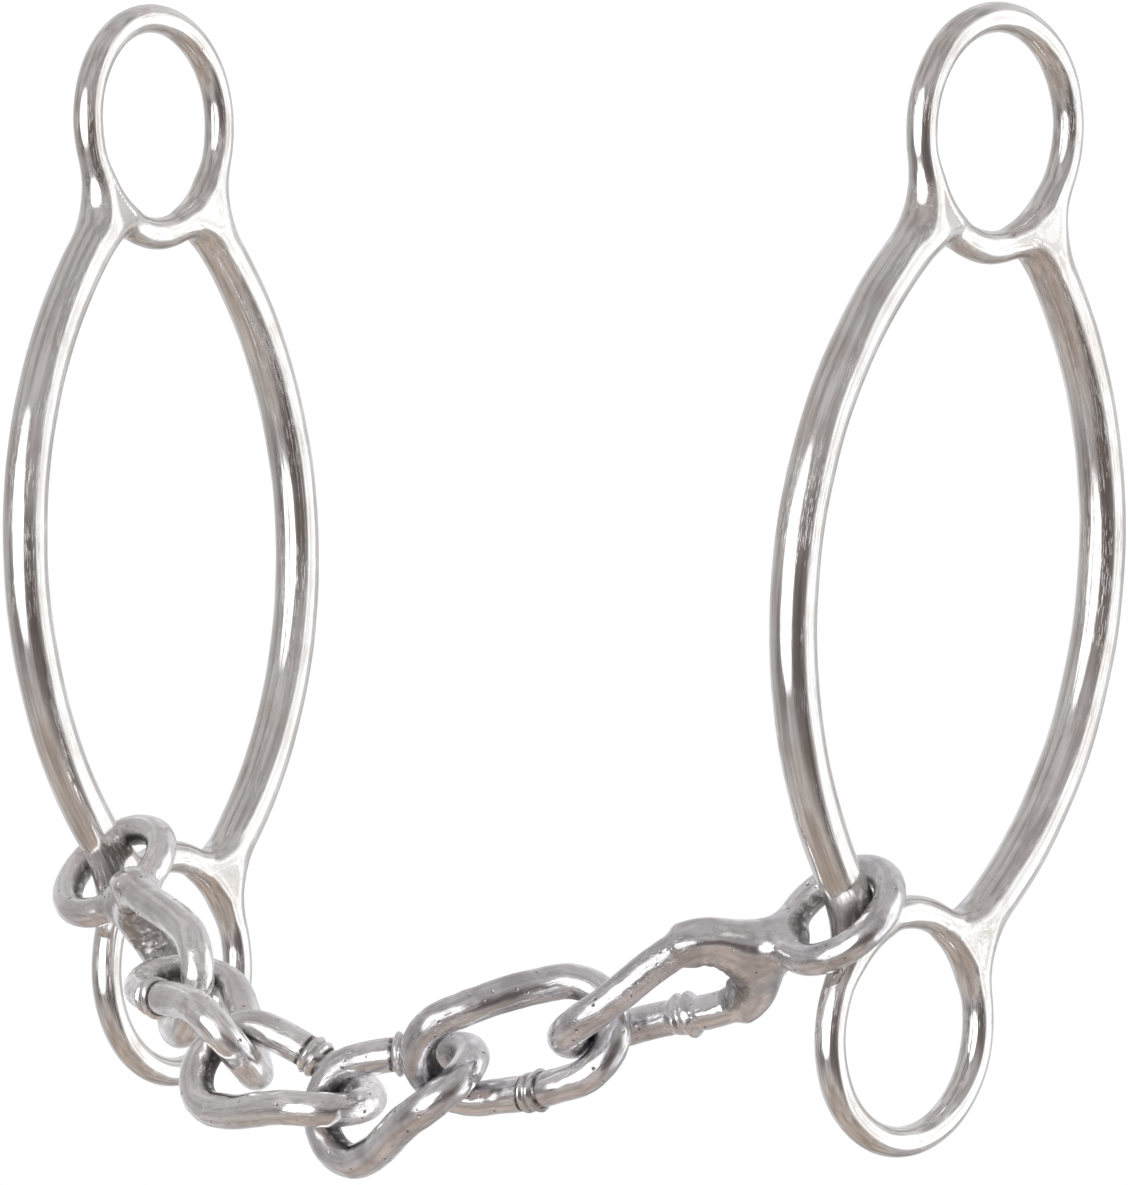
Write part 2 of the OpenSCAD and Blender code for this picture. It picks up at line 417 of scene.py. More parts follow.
@dataclass(frozen=True)
class Steel:
    """A bare stainless finish: polish, scratches along the wire, pits, left-over dirt and painted shade.

    Depths are in millimetres, scales are in clouds a millimetre, and for streaks, lines and hairs
    along the wire, across it and round it. pit_share is the part of the surface that may be pitted.
    """

    name: str
    colour: tuple[float, float, float]
    stain: tuple[float, float, float]
    dirt_and_shade: tuple[float, float, float]
    rough_low: float
    rough_high: float
    line_depth: float
    satin_depth: float
    scratch_depth: float
    pit_depth: float
    pit_share: float
    cloud_scale: float = 0.16
    fine_scale: float = 1.1
    streak_scale: tuple[float, float, float] = (0.05, 1.1, 1.1)
    line_scale: tuple[float, float, float] = (0.16, 4.5, 4.5)
    hair_scale: tuple[float, float, float] = (0.4, 12.0, 12.0)
    patch_scale: float = 0.12
    pit_scale: float = 0.9
    pit_cloud_scale: float = 0.45
    satin_scale: float = 2.6
    streak_share: float = 1.5
    scratch_rough: float = 0.10
    worn_rough: float = 0.25
    pit_dirt: float = 0.8

    def tint(self, kit: Nodes, cloud: object, pit: object, grime_and_shade: object) -> bpy.types.NodeSocket:
        """The colour: steel, clouded with stain, dark with dirt in pits, and dark with dirt and painted
        shade in corners.

        Args:
            kit: the material's nodes.
            cloud: noise that lays the stain.
            pit: depth in a pit.
            grime_and_shade: dirt and painted shade in corners and recesses.

        Returns:
            The colour's output.
        """
        stained = kit.add("ShaderNodeMix", data_type="RGBA")
        kit.feed(stained.inputs["Factor"], kit.band(cloud, 0.42, 0.66))
        stained.inputs["A"].default_value = (*self.colour, 1)
        stained.inputs["B"].default_value = (*self.stain, 1)
        dirty = kit.add("ShaderNodeMix", data_type="RGBA", clamp_factor=True)
        filled = kit.maths("MULTIPLY", pit, self.pit_dirt)
        kit.feed(dirty.inputs["Factor"], kit.maths("MAXIMUM", filled, grime_and_shade))
        kit.feed(dirty.inputs["A"], stained.outputs["Result"])
        dirty.inputs["B"].default_value = (*self.dirt_and_shade, 1)
        return dirty.outputs["Result"]

    def build(self) -> bpy.types.Material:
        """The finish as a material.

        Scratches are noise stretched along the straightened wire, pits are the deep cells of a
        Voronoi pattern, and cloudy noise varies the polish and the colour.

        Returns:
            The material.
        """
        material = bpy.data.materials.new(self.name)
        material.use_nodes = True
        tree = material.node_tree
        tree.nodes.clear()
        kit = Nodes(tree)
        shader = kit.add("ShaderNodeBsdfPrincipled")
        out = kit.add("ShaderNodeOutputMaterial")
        tree.links.new(shader.outputs[0], out.inputs[0])
        shader.inputs["Metallic"].default_value = 1.0
        grain = kit.add("ShaderNodeAttribute", attribute_name="grain").outputs["Vector"]
        # Painted shade, with dirt: a value stored for each vertex darkens corners, recesses, the insides of
        # bends and the trenches beside welds towards the dark colour.
        stored_grime_and_shade = kit.add("ShaderNodeAttribute", attribute_name="grime_and_shade").outputs["Fac"]
        place = kit.scaled(kit.add("ShaderNodeTexCoord").outputs["Object"], (1000, 1000, 1000))

        cloud = kit.noise(place, self.cloud_scale, 4)
        fine = kit.noise(place, self.fine_scale, 3)
        streaks = kit.noise(kit.scaled(grain, self.streak_scale), 1.0, 2)
        lines = kit.noise(kit.scaled(grain, self.line_scale), 1.0, 2)
        hairs = kit.noise(kit.scaled(grain, self.hair_scale), 1.0, 1)
        patch = kit.band(kit.noise(place, self.patch_scale, 2), 0.40, 0.62)
        scratch = kit.maths("MULTIPLY", kit.band(hairs, 0.58, 0.70), patch)
        uneven = kit.band(fine, 0.30, 0.55, 0.35, 1.0)
        grime_and_shade = kit.maths("MULTIPLY", kit.band(stored_grime_and_shade, 0.25, 0.9), uneven)

        pits = kit.add("ShaderNodeTexVoronoi", feature="F1")
        kit.feed(pits.inputs["Vector"], place)
        pits.inputs["Scale"].default_value = self.pit_scale
        hole = kit.band(pits.outputs["Distance"], 0.04, 0.26, 1.0, 0.0)
        open_pit = 1 - self.pit_share
        chosen = kit.band(kit.noise(place, self.pit_cloud_scale, 2), open_pit, open_pit + 0.08)
        pit = kit.maths("MULTIPLY", hole, chosen)
        mixed = kit.maths("ADD", kit.maths("MULTIPLY", cloud, 0.5), kit.maths("MULTIPLY", fine, 0.5))
        kit.feed(shader.inputs["Base Color"], self.tint(kit, cloud, pit, grime_and_shade))
        polish = kit.band(mixed, 0.35, 0.68, self.rough_low, self.rough_high)
        dulled = kit.maths("ADD", polish, kit.maths("MULTIPLY", scratch, self.scratch_rough))
        worn_and_shaded = kit.maths("MULTIPLY", kit.maths("MAXIMUM", pit, grime_and_shade), self.worn_rough)
        kit.feed(shader.inputs["Roughness"], kit.maths("ADD", dulled, worn_and_shaded))

        satin = kit.noise(place, self.satin_scale, 2)
        along = kit.maths("MULTIPLY", streaks, self.streak_share * self.line_depth)
        along = kit.maths("ADD", along, kit.maths("MULTIPLY", lines, self.line_depth))
        along = kit.maths("ADD", along, kit.maths("MULTIPLY", satin, self.satin_depth))
        cut = kit.maths("MULTIPLY", scratch, self.scratch_depth)
        cut = kit.maths("ADD", cut, kit.maths("MULTIPLY", pit, self.pit_depth))
        relief = kit.add("ShaderNodeBump")
        relief.inputs["Strength"].default_value = 1.0
        relief.inputs["Distance"].default_value = MM
        kit.feed(relief.inputs["Height"], kit.maths("SUBTRACT", along, cut))
        kit.feed(shader.inputs["Normal"], relief.outputs[0])
        return material


POLISHED = Steel(
    name="polished_stainless", colour=(0.82, 0.815, 0.805), stain=(0.72, 0.69, 0.665),
    dirt_and_shade=(0.30, 0.26, 0.24), rough_low=0.045, rough_high=0.12, line_depth=0.008, satin_depth=0.001,
    scratch_depth=0.012, pit_depth=0.03, pit_share=0.32)
TUMBLED = Steel(
    name="tumbled_stainless", colour=(0.84, 0.835, 0.855), stain=(0.58, 0.57, 0.585),
    dirt_and_shade=(0.12, 0.11, 0.11), rough_low=0.12, rough_high=0.26, line_depth=0.014,
    satin_depth=0.006, scratch_depth=0.02, pit_depth=0.14, pit_share=0.48)
# Painted light: a brighter copy of the tumbled finish for the pieces on the left, which catch more light
# there; the steel is the same.
LIT_TUMBLED = replace(
    TUMBLED, name="lit_tumbled_stainless", colour=(0.93, 0.92, 0.925), stain=(0.75, 0.735, 0.735))


# ---- the cheeks


@dataclass
class Cheek:
    """One cheek: two rings joined by two bowed bars, welded and ground into one piece of steel.

    Its own axes have x square to the rings' plane, y to the rear and z up, from mid height. Angles
    are in degrees, apart from taper_reach, which is a share of a radian along a bar's arc.
    """

    side: Side
    ring_wire: float = 3.8
    ring_hole: float = 22.0
    bar_wire: float = 5.6
    loop_width: float = 53.8
    meet_angle: float = 35.0
    ring_stretch: float = 1.2
    fillet_outside: float = 6.0
    fillet_inside: float = 3.0
    bar_taper: float = 0.6
    taper_reach: float = 0.07
    rim_half: float = 2.25
    rim_slope: float = 0.3
    hole_round: float = 0.6
    fillet_start: float = 8.0
    fillet_turn: float = 14.0
    grain_blend: float = 3.0
    unevenness: float = 0.035
    uneven_length: float = 9.0
    corner_depth: float = 1.2
    cell: float = 0.46
    place: Place = field(init=False)
    half_span: float = field(init=False)

    def __post_init__(self) -> None:
        """Reads the cheek's place and length from the record's two ring centres."""
        mounts = {m["name"]: m for m in frame["record"]["mounts"]}
        top = mounts[f"{self.side.value}_headstall_ring"]
        foot = np.array(mounts[f"{self.side.value}_rein_ring"]["pos_m"]) / MM
        head = np.array(top["pos_m"]) / MM
        across = unit(np.array(top["axis"])) * (1 if self.side is Side.RIGHT else -1)
        up = unit(head - foot)
        rear = unit(np.cross(up, across))
        self.place = Place((head + foot) / 2, np.stack([np.cross(rear, up), rear, up]))
        self.half_span = float(np.linalg.norm(head - foot)) / 2

    @property
    def ring_r(self) -> float:
        """Radius of a ring to the middle of its wire."""
        return (self.ring_hole + self.ring_wire) / 2

    def arc(self) -> tuple[float, float, float]:
        """A bar's arc, through its two joints and its widest place.

        Returns:
            The arc's radius, how far its centre lies beyond the cheek's middle, and its half angle.
        """
        meet = np.radians(self.meet_angle)
        end_y = self.ring_r * np.sin(meet)
        end_z = self.half_span - self.ring_r * np.cos(meet)
        bow = self.loop_width / 2 - end_y
        radius = bow / 2 + end_z ** 2 / (2 * bow)
        return radius, radius - self.loop_width / 2, float(np.arcsin(end_z / radius))

    def from_ring(self, points: Array, up: int) -> tuple[Array, Array]:
        """Where points lie against a ring, which is drawn out a little towards the cheek's middle.

        The z of the drawn-out half is first shrunk by ring_r / (ring_r + ring_stretch).

        Args:
            points: in the cheek's own axes.
            up: 1 for the upper ring and -1 for the lower one.

        Returns:
            How far outside the ring's centreline they lie in its plane, and their angle round it
            from the side of the cheek's middle.
        """
        z = (points[:, 2] - up * self.half_span) * up
        z = np.where(z < 0, z * self.ring_r / (self.ring_r + self.ring_stretch), z)
        return np.hypot(points[:, 1], z) - self.ring_r, np.arctan2(np.abs(points[:, 1]), -z)

    def bar_field(self, points: Array, rear: int) -> Array:
        """Distance to a bar: the wire along its arc, tapered towards the rings' wire at its ends.

        Args:
            points: in the cheek's own axes.
            rear: 1 for the rear bar and -1 for the front one.

        Returns:
            The distance, negative inside.
        """
        radius, beyond, half = self.arc()
        y, z = points[:, 1] * rear + beyond, points[:, 2]
        angle = np.clip(np.arctan2(z, y), -half, half)
        off = np.stack([points[:, 0], y - radius * np.cos(angle), z - radius * np.sin(angle)])
        thinner = self.bar_taper * bump(half - np.abs(angle), self.taper_reach)
        return np.sqrt((off ** 2).sum(axis=0)) - self.bar_wire / 2 + thinner

    def bars(self, points: Array) -> Array:
        """The union of the two bars' fields."""
        return np.minimum(self.bar_field(points, 1), self.bar_field(points, -1))

    def shape(self, points: Array) -> Array:
        """The whole cheek's field, with ground fillets and the slight waviness of hand polishing.

        The fillet is wide on the cheek's outside, where the weld was ground, and tight inside the
        loop. Within a ring's centreline all is kept to an ellipse, (inward/wire)^2 + (x/rim)^2 < 1,
        so nothing stands in the hole, and beyond it the rim widens evenly to the bar.

        Args:
            points: in the cheek's own axes.

        Returns:
            The field's values, negative inside.
        """
        up = np.where(points[:, 2] < 0, -1, 1)
        beyond, turn = self.from_ring(points, up)
        wire = self.ring_wire / 2
        rings = np.hypot(beyond, points[:, 0]) - wire
        outside = ease((np.degrees(turn) - self.meet_angle + self.fillet_start) / self.fillet_turn)
        width = self.fillet_inside + (self.fillet_outside - self.fillet_inside) * outside
        body = blend_min(self.bars(points), rings, width)
        rim = self.rim_half + self.rim_slope * np.maximum(beyond, 0)
        kept = (np.hypot(np.minimum(beyond, 0) / wire, points[:, 0] / rim) - 1) * wire
        body = -blend_min(-body, -kept, self.hole_round)
        seed = 3 if self.side is Side.LEFT else 5
        return body + self.unevenness * waves(points, self.uneven_length, seed)

    def grain(self, points: Array) -> Array:
        """Where each point would lie if its bar and rings were one straight wire.

        The distance along it starts at the top of the upper ring, goes down the bar and ends at the
        foot of the lower ring, and the bar's places pass smoothly into the rings'.

        Args:
            points: in the cheek's own axes.

        Returns:
            For each point, its distance along the wire and its two places across it.
        """
        radius, beyond, half = self.arc()
        rear = np.where(points[:, 1] < 0, -1, 1)
        y, z = points[:, 1] * rear + beyond, points[:, 2]
        to_joint = self.ring_r * (np.pi - np.radians(self.meet_angle))
        down = to_joint + radius * (half - np.arctan2(z, y))
        bar = np.stack([down, np.hypot(y, z) - radius, points[:, 0]], axis=1)
        up = np.where(z < 0, -1, 1)
        out, turn = self.from_ring(points, up)
        round_it = self.ring_r * (np.pi - turn)
        below = 2 * (to_joint + radius * half) - round_it
        ring = np.stack([np.where(up > 0, round_it, below), out, points[:, 0]], axis=1)
        rings = np.hypot(out, points[:, 0]) - self.ring_wire / 2
        share = ease(0.5 + (rings - self.bars(points)) / self.grain_blend)[:, None]
        return ring + (bar - ring) * share

    def build(self, steel: bpy.types.Material) -> bpy.types.Object:
        """Makes the cheek and lets it stand for its four nodes.

        Args:
            steel: the finish.

        Returns:
            The cheek's piece.
        """
        reach = np.array([self.bar_wire / 2, self.loop_width / 2 + self.bar_wire / 2,
                          self.half_span + self.ring_r + self.ring_wire / 2]) + 2 * self.cell
        skin = skin_of(self.shape, -reach, reach, self.cell)
        side = self.side.value
        # Painted shade: the steel is darkened in the corners where the bars meet the rings, by how little
        # room lies above the skin.
        piece = make_piece(f"{side}_cheek_steel", self.place.out(skin.spots), skin.faces,
                           skin.normals @ self.place.axes, self.grain(skin.spots),
                           crevice(self.shape, skin, self.corner_depth))
        piece.data.materials.append(steel)
        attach(piece, f"{side}_cheek")
        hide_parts(*(f"{side}_{part}" for part in
                             ("headstall_ring", "rein_ring", "front_bar", "rear_bar")))
        return piece


# ---- twisted loops of wire


@dataclass
class WireLoop:
    """A closed loop of round wire with two straight legs and two round bends, twisted about x.

    The tilt of the loop's plane grows evenly along the legs and is constant round each bend, with
    the change from one to the other spread over the easing length on both sides.
    """

    straight: float
    bend: float
    tilt_low: float
    tilt_high: float
    middle: float = 0.0
    wire: float = 4.24
    ease: float = 5.0

    def length(self) -> float:
        """Length of the centreline before the twist."""
        return 2 * self.straight + 2 * np.pi * self.bend

    def line(self, s: Array) -> tuple[Array, Array]:
        """The centreline at distances s, going round from the foot of the high bend.

        Before the twist a bend is (middle +- half + bend cos a, bend sin a) and a leg runs along x
        at width +-bend. The twist turns the width by the tilt at that x.

        Args:
            s: distances along the untwisted centreline.

        Returns:
            The points, and the tilt of the loop's plane at each.
        """
        half, bend, arc = self.straight / 2, self.bend, np.pi * self.bend
        s = np.mod(s, self.length())
        a = np.clip(s / bend, 0, np.pi) - np.pi / 2
        leg = np.clip(s - arc, 0, self.straight)
        b = np.clip((s - arc - self.straight) / bend, 0, np.pi)
        home = np.clip(s - 2 * arc - self.straight, 0, self.straight)
        first = s < arc + self.straight
        x = np.where(first, half + bend * np.cos(a) - leg, -half - bend * np.sin(b) + home)
        width = np.where(first, bend * np.sin(a), bend * np.cos(b))
        far = np.minimum(np.abs(x), half + self.ease)
        over = np.maximum(far - half + self.ease, 0)
        share = 0.5 + np.sign(x) * (far - over ** 2 / (4 * self.ease)) / (2 * half)
        tilt = np.radians(self.tilt_low + (self.tilt_high - self.tilt_low) * share)
        points = np.stack([x + self.middle, width * np.cos(tilt), width * np.sin(tilt)], axis=1)
        return points, tilt

    def along(self, count: int) -> tuple[Array, Array, Array, Array]:
        """Evenly spaced places round the loop.

        Args:
            count: how many.

        Returns:
            Their distances, with the wire's points, directions and plane normals.
        """
        s = np.arange(count) * self.length() / count
        small = self.length() / count / 4
        points, tilt = self.line(s)
        way = unit(self.line(s + small)[0] - self.line(s - small)[0])
        face = np.stack([np.zeros(count), -np.sin(tilt), np.cos(tilt)], axis=1)
        return s, points, way, face


@dataclass(frozen=True)
class WeldBead:
    """Where a loop's weld is, and how it swells the wire: two ridges with a shallow waist between."""

    at: float
    seed: int
    height: float = 0.46
    ridge: float = 0.36
    apart: float = 1.15
    trench: float = 0.35
    most_lean: float = 0.45
    most_uneven: float = 0.7
    ridge_share: float = 0.75
    waist_share: float = 0.45
    trench_share: float = 0.25
    waist_dirt_and_shade: float = 0.6

    def off(self, s: Array, angle: Array, around: float) -> Array:
        """Distance along the wire from the weld, which leans a little round the wire.

        Args:
            s: distance along the wire.
            angle: angle round the wire.
            around: the loop's whole length, because distances wrap.

        Returns:
            The distance, below zero on the near side of the weld.
        """
        draw = np.random.default_rng(self.seed)
        lean, phase = draw.uniform((-self.most_lean, 0), (self.most_lean, 6.28))
        return np.mod(s - self.at + around / 2, around) - around / 2 + lean * np.cos(angle + phase)

    def swell(self, off: Array, angle: Array) -> Array:
        """How far the weld stands proud of the wire, or below it in the trenches beside it.

        Each ridge is a bell along the wire whose height goes up and down round it.

        Args:
            off: distance along the wire from the weld.
            angle: angle round the wire.

        Returns:
            The rise in millimetres.
        """
        draw = np.random.default_rng(self.seed + 1)
        phase, uneven = draw.uniform((0, self.most_uneven / 2), (6.28, self.most_uneven))
        one = bump(off - self.apart / 2, self.ridge) * (1 + uneven * np.sin(angle * 2 + phase))
        two = bump(off + self.apart / 2, self.ridge) * (0.8 + uneven * np.cos(angle * 3 + phase))
        waist = self.waist_share * bump(off, self.apart)
        rise = self.ridge_share * (one + two) + waist
        return self.height * (rise - self.trench_share * self.grime_and_shade(off))

    def grime_and_shade(self, off: Array) -> Array:
        """The dirt and painted shade in the trenches beside the weld and in its waist.

        Args:
            off: distance along the wire from the weld.

        Returns:
            A value from 0 to 1.
        """
        side = self.apart / 2 + 2 * self.ridge
        beside = bump(off - side, self.trench) + bump(off + side, self.trench)
        return np.minimum(beside + self.waist_dirt_and_shade * bump(off, self.trench), 1)


def bead_of(loop: WireLoop, place: Place, node: str, seed: int) -> WeldBead:
    """Finds a loop's weld in the frame: where its node's wire stands furthest off its centreline.

    The weld's place is the mean, round the loop, of the spots that stand proud on its legs.

    Args:
        loop: the loop.
        place: where the loop is.
        node: the CAD node that carries the weld.
        seed: which pattern of unevenness.

    Returns:
        The weld bead, at the place that was found.
    """
    spots = place.back(node_triangles(node).reshape(-1, 3))
    s, points, _, _ = loop.along(NEAR_COUNT)
    apart = np.linalg.norm(spots[:, None] - points[None], axis=2)
    nearest = apart.argmin(axis=1)
    proud = apart.min(axis=1) - loop.wire / 2
    on_leg = np.abs(spots[:, 0] - loop.middle) < loop.straight * 0.4
    raised = on_leg & (proud > 0.6 * proud[on_leg].max())
    turn = np.exp(2j * np.pi * s[nearest[raised]] / loop.length()).sum()
    share = np.mod(np.angle(turn), 2 * np.pi) / (2 * np.pi)
    return WeldBead(float(share * loop.length()), seed)


@dataclass
class ChainLink:
    """A free link of the mouth: one wire bent, twisted and welded shut."""

    number: int
    loop: WireLoop = field(default_factory=lambda: WireLoop(12.4, 6.0, 25.0, -25.0))
    rings: int = 420
    sides: int = 56
    dent: float = 0.042
    dent_length: float = 6.0
    pock: float = 0.02
    pock_length: float = 1.8
    bend_dirt_and_shade: float = 0.75
    grain_step: float = 90.0

    def build(self, steel: bpy.types.Material) -> bpy.types.Object:
        """Makes the link as a tube carried along its loop.

        A point of the skin is the centreline plus r(s, a) * (cos a * outward + sin a * normal),
        where r is the wire's radius with its weld and the unevenness of tumbling. Dirt and painted
        shade are laid inside the bends, where the next link sits and has rubbed, and beside the weld.

        Args:
            steel: the finish.

        Returns:
            The link's piece.
        """
        node = f"chain_link_{self.number}"
        place = Place(*inertia_axes(node_triangles(node)))
        bead = bead_of(self.loop, place, node, self.number)
        s, points, way, face = self.loop.along(self.rings)
        outward = unit(np.cross(way, face))
        normal = np.cross(outward, way)
        angle = np.arange(self.sides) * 2 * np.pi / self.sides
        flat_s, flat_a = np.repeat(s, self.sides), np.tile(angle, self.rings)
        radial = outward[:, None] * np.cos(angle)[:, None] + normal[:, None] * np.sin(angle)[:, None]
        radial = radial.reshape(-1, 3)
        centre = np.repeat(points, self.sides, axis=0)
        off = bead.off(flat_s, flat_a, self.loop.length())
        radius = self.loop.wire / 2 + bead.swell(off, flat_a)
        rough = centre + radius[:, None] * radial
        radius = radius + self.dent * waves(rough, self.dent_length, 20 + self.number)
        radius = radius + self.pock * waves(rough, self.pock_length, 40 + self.number)
        spots = centre + radius[:, None] * radial
        i, j = np.meshgrid(np.arange(self.rings), np.arange(self.sides), indexing="ij")
        i2, j2 = (i + 1) % self.rings, (j + 1) % self.sides
        here, ahead = i * self.sides, i2 * self.sides
        faces = np.stack([here + j, ahead + j, ahead + j2, here + j2], axis=-1).reshape(-1, 4)
        shifted = flat_s + self.grain_step * self.number
        grain = np.stack([shifted, radius * np.cos(flat_a), radius * np.sin(flat_a)], axis=1)
        # Painted shade, with dirt: the insides of the bends, where the next link sits, and the trenches
        # beside the weld are darkened.
        in_bend = ease((np.abs(centre[:, 0]) - self.loop.straight / 2 + 1) / 4)
        inside = in_bend * ease(-np.cos(flat_a) * 1.1)
        grime_and_shade = np.maximum(bead.grime_and_shade(off), self.bend_dirt_and_shade * inside)
        piece = make_piece(f"link_{self.number}_wire", place.out(spots), faces, grain=grain, grime_and_shade=grime_and_shade)
        piece.data.materials.append(steel)
        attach(piece, f"link_{self.number}")
        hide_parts(node)
        return piece


@dataclass
class MouthEnd:
    """A mouth end: an eye for the cheek's bar and a twisted loop, joined by a neck and a flat palm.

    Its own axes have their origin at the eye's centre, x out along the loop and z along the eye's hole.
    """

    side: Side
    eye_r: float = 7.0
    eye_wire: float = 3.8
    palm_turn: float = 102.0
    twist: float = 31.0
    straight: float = 11.8
    bend: float = 6.6
    neck_gap: float = 0.7
    neck_fillet: float = 4.2
    rim_inset: float = 1.9
    rim_reach: float = 0.9
    rim_rough: float = 0.09
    eye_dark: float = 0.7
    bead_ridge: float = 0.52
    bead_apart: float = 1.45
    neck_wire: float = 4.4
    fillet: float = 2.6
    palm_fillet: float = 1.6
    palm_inset: float = 0.3
    palm_half_wide: float = 1.5
    palm_half_thick: float = 1.2
    palm_edge: float = 0.8
    palm_reach: float = 1.5
    rim_length: float = 1.3
    rim_dirt: float = 0.6
    dent: float = 0.04
    dent_length: float = 5.5
    pock: float = 0.012
    pock_length: float = 1.6
    corner_depth: float = 2.0
    cell: float = 0.32
    loop: WireLoop = field(init=False)
    place: Place = field(init=False)
    bead: WeldBead = field(init=False)

    def __post_init__(self) -> None:
        """Reads the eye's centre and hole and the way to the loop from the two nodes."""
        side = self.side.value
        centre, eye_axes = inertia_axes(node_triangles(f"{side}_mouth_eye"))
        middle, _ = inertia_axes(node_triangles(f"{side}_mouth_loop"))
        hole = eye_axes[2]
        out = unit(middle - centre)
        rear = unit(np.cross(hole, out))
        self.place = Place(centre, np.stack([out, rear, np.cross(out, rear)]))
        near = self.eye_r + self.eye_wire / 2 + self.neck_gap + WireLoop.wire / 2
        self.loop = WireLoop(self.straight, self.bend, -self.palm_turn, -self.palm_turn - self.twist,
                             near + self.bend + self.straight / 2)
        seed = 11 if self.side is Side.LEFT else 12
        bead = bead_of(self.loop, self.place, f"{side}_mouth_loop", seed)
        self.bead = replace(bead, ridge=self.bead_ridge, apart=self.bead_apart)

    def loop_field(self, points: Array) -> Array:
        """Distance to the loop's wire, with its weld.

        The nearest of many points of the centreline gives the distance square to the wire there:
        the length of p - c without its part along the wire.

        Args:
            points: in the mouth end's own axes.

        Returns:
            The distance, negative inside.
        """
        s, line, way, face = self.loop.along(FIELD_COUNT)
        apart = (points ** 2).sum(axis=1)[:, None] - 2 * points @ line.T
        apart = apart + (line ** 2).sum(axis=1)[None]
        nearest = apart.argmin(axis=1)
        off = points - line[nearest]
        along = (off * way[nearest]).sum(axis=1)
        square = off - along[:, None] * way[nearest]
        distance = np.linalg.norm(square, axis=1)
        outward = np.cross(way, face)
        above = (square * face[nearest]).sum(axis=1)
        angle = np.arctan2(above, (square * outward[nearest]).sum(axis=1))
        off_weld = self.bead.off(s[nearest] + along, angle, self.loop.length())
        return distance - self.loop.wire / 2 - self.bead.swell(off_weld, angle)

    def in_palm(self, points: Array) -> tuple[Array, Array, Array]:
        """Where points lie against the palm.

        Args:
            points: in the mouth end's own axes.

        Returns:
            How far they lie out from the near bend's centre, across it and out of its plane.
        """
        tilt = np.radians(self.loop.tilt_low)
        x = points[:, 0] - (self.loop.middle - self.loop.straight / 2)
        wide = points @ np.array([0, np.cos(tilt), np.sin(tilt)])
        return x, wide, points @ np.array([0, -np.sin(tilt), np.cos(tilt)])

    def palm_field(self, points: Array) -> Array:
        """Distance to the palm: a flat band with round edges that fills the loop's near bend.

        Args:
            points: in the mouth end's own axes.

        Returns:
            The distance, negative inside.
        """
        x, wide, thick = self.in_palm(points)
        ring = np.hypot(np.minimum(x, 0), wide) - self.loop.bend
        past = np.stack([np.abs(ring + self.palm_inset) - self.palm_half_wide,
                         np.abs(thick) - self.palm_half_thick, x + self.palm_reach])
        return np.sqrt((np.maximum(past, 0) ** 2).sum(axis=0)) - self.palm_edge

    def rim(self, points: Array) -> Array:
        """How near points are to the rough weld round the inside of the palm.

        Args:
            points: in the mouth end's own axes.

        Returns:
            A value from 0 to 1.
        """
        x, wide, _ = self.in_palm(points)
        inward = self.bend - self.rim_inset - np.hypot(np.minimum(x, 0), wide)
        return bump(np.maximum(-inward, 0), self.rim_reach) * ease(1 - x / self.rim_inset)

    def worn_and_shaded(self, points: Array) -> Array:
        """Dirt and painted shade inside the eye, where the cheek's bar runs, from 0 to 1."""
        reach = np.hypot(points[:, 0], points[:, 1])
        return self.eye_dark * ease((self.eye_r - 0.2 * self.eye_wire - reach) / (0.3 * self.eye_wire))

    def shape(self, points: Array) -> Array:
        """The whole mouth end's field: eye, neck, loop and palm, with the dents of tumbling.

        Args:
            points: in the mouth end's own axes.

        Returns:
            The field's values, negative inside.
        """
        round_it = np.hypot(points[:, 0], points[:, 1]) - self.eye_r
        eye = np.hypot(round_it, points[:, 2]) - self.eye_wire / 2
        near = self.loop.middle - self.loop.straight / 2 - self.loop.bend
        x = np.clip(points[:, 0], self.eye_r, near)
        off = points - np.stack([x, 0 * x, 0 * x], axis=1)
        neck = np.sqrt((off ** 2).sum(axis=1)) - self.neck_wire / 2
        loop = blend_min(self.loop_field(points), self.palm_field(points), self.palm_fillet)
        body = blend_min(blend_min(eye, neck, self.fillet), loop, self.neck_fillet)
        seed = 70 if self.side is Side.LEFT else 80
        body = body + self.rim_rough * self.rim(points) * waves(points, self.rim_length, seed + 2)
        body = body + self.dent * waves(points, self.dent_length, seed)
        return body + self.pock * waves(points, self.pock_length, seed + 1)

    def build(self, steel: bpy.types.Material) -> bpy.types.Object:
        """Makes the mouth end and lets it stand for its two nodes.

        Args:
            steel: the finish.

        Returns:
            The mouth end's piece.
        """
        reach = self.eye_r + self.eye_wire / 2 + 1
        far = self.loop.middle + self.loop.straight / 2 + self.loop.bend + self.loop.wire / 2 + 1
        wide = self.loop.bend + self.loop.wire / 2 + 1
        low, high = np.array([-reach, -wide, -wide]), np.array([far, wide, wide])
        skin = skin_of(self.shape, low, high, self.cell)
        side = self.side.value
        # Painted shade, with dirt: corners, by how little room lies above the skin, and the inside of the
        # eye round the cheek's bar are darkened; the rough weld round the palm's inside is darkened for its
        # dirt.
        dark = np.maximum(self.rim_dirt * self.rim(skin.spots), self.worn_and_shaded(skin.spots))
        grime_and_shade = np.maximum(crevice(self.shape, skin, self.corner_depth), dark)
        piece = make_piece(f"{side}_mouth_end_steel", self.place.out(skin.spots), skin.faces,
                           skin.normals @ self.place.axes, skin.spots, grime_and_shade)
        piece.data.materials.append(steel)
        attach(piece, f"{side}_mouth_end")
        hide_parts(f"{side}_mouth_eye", f"{side}_mouth_loop")
        return piece


# ---- the studio


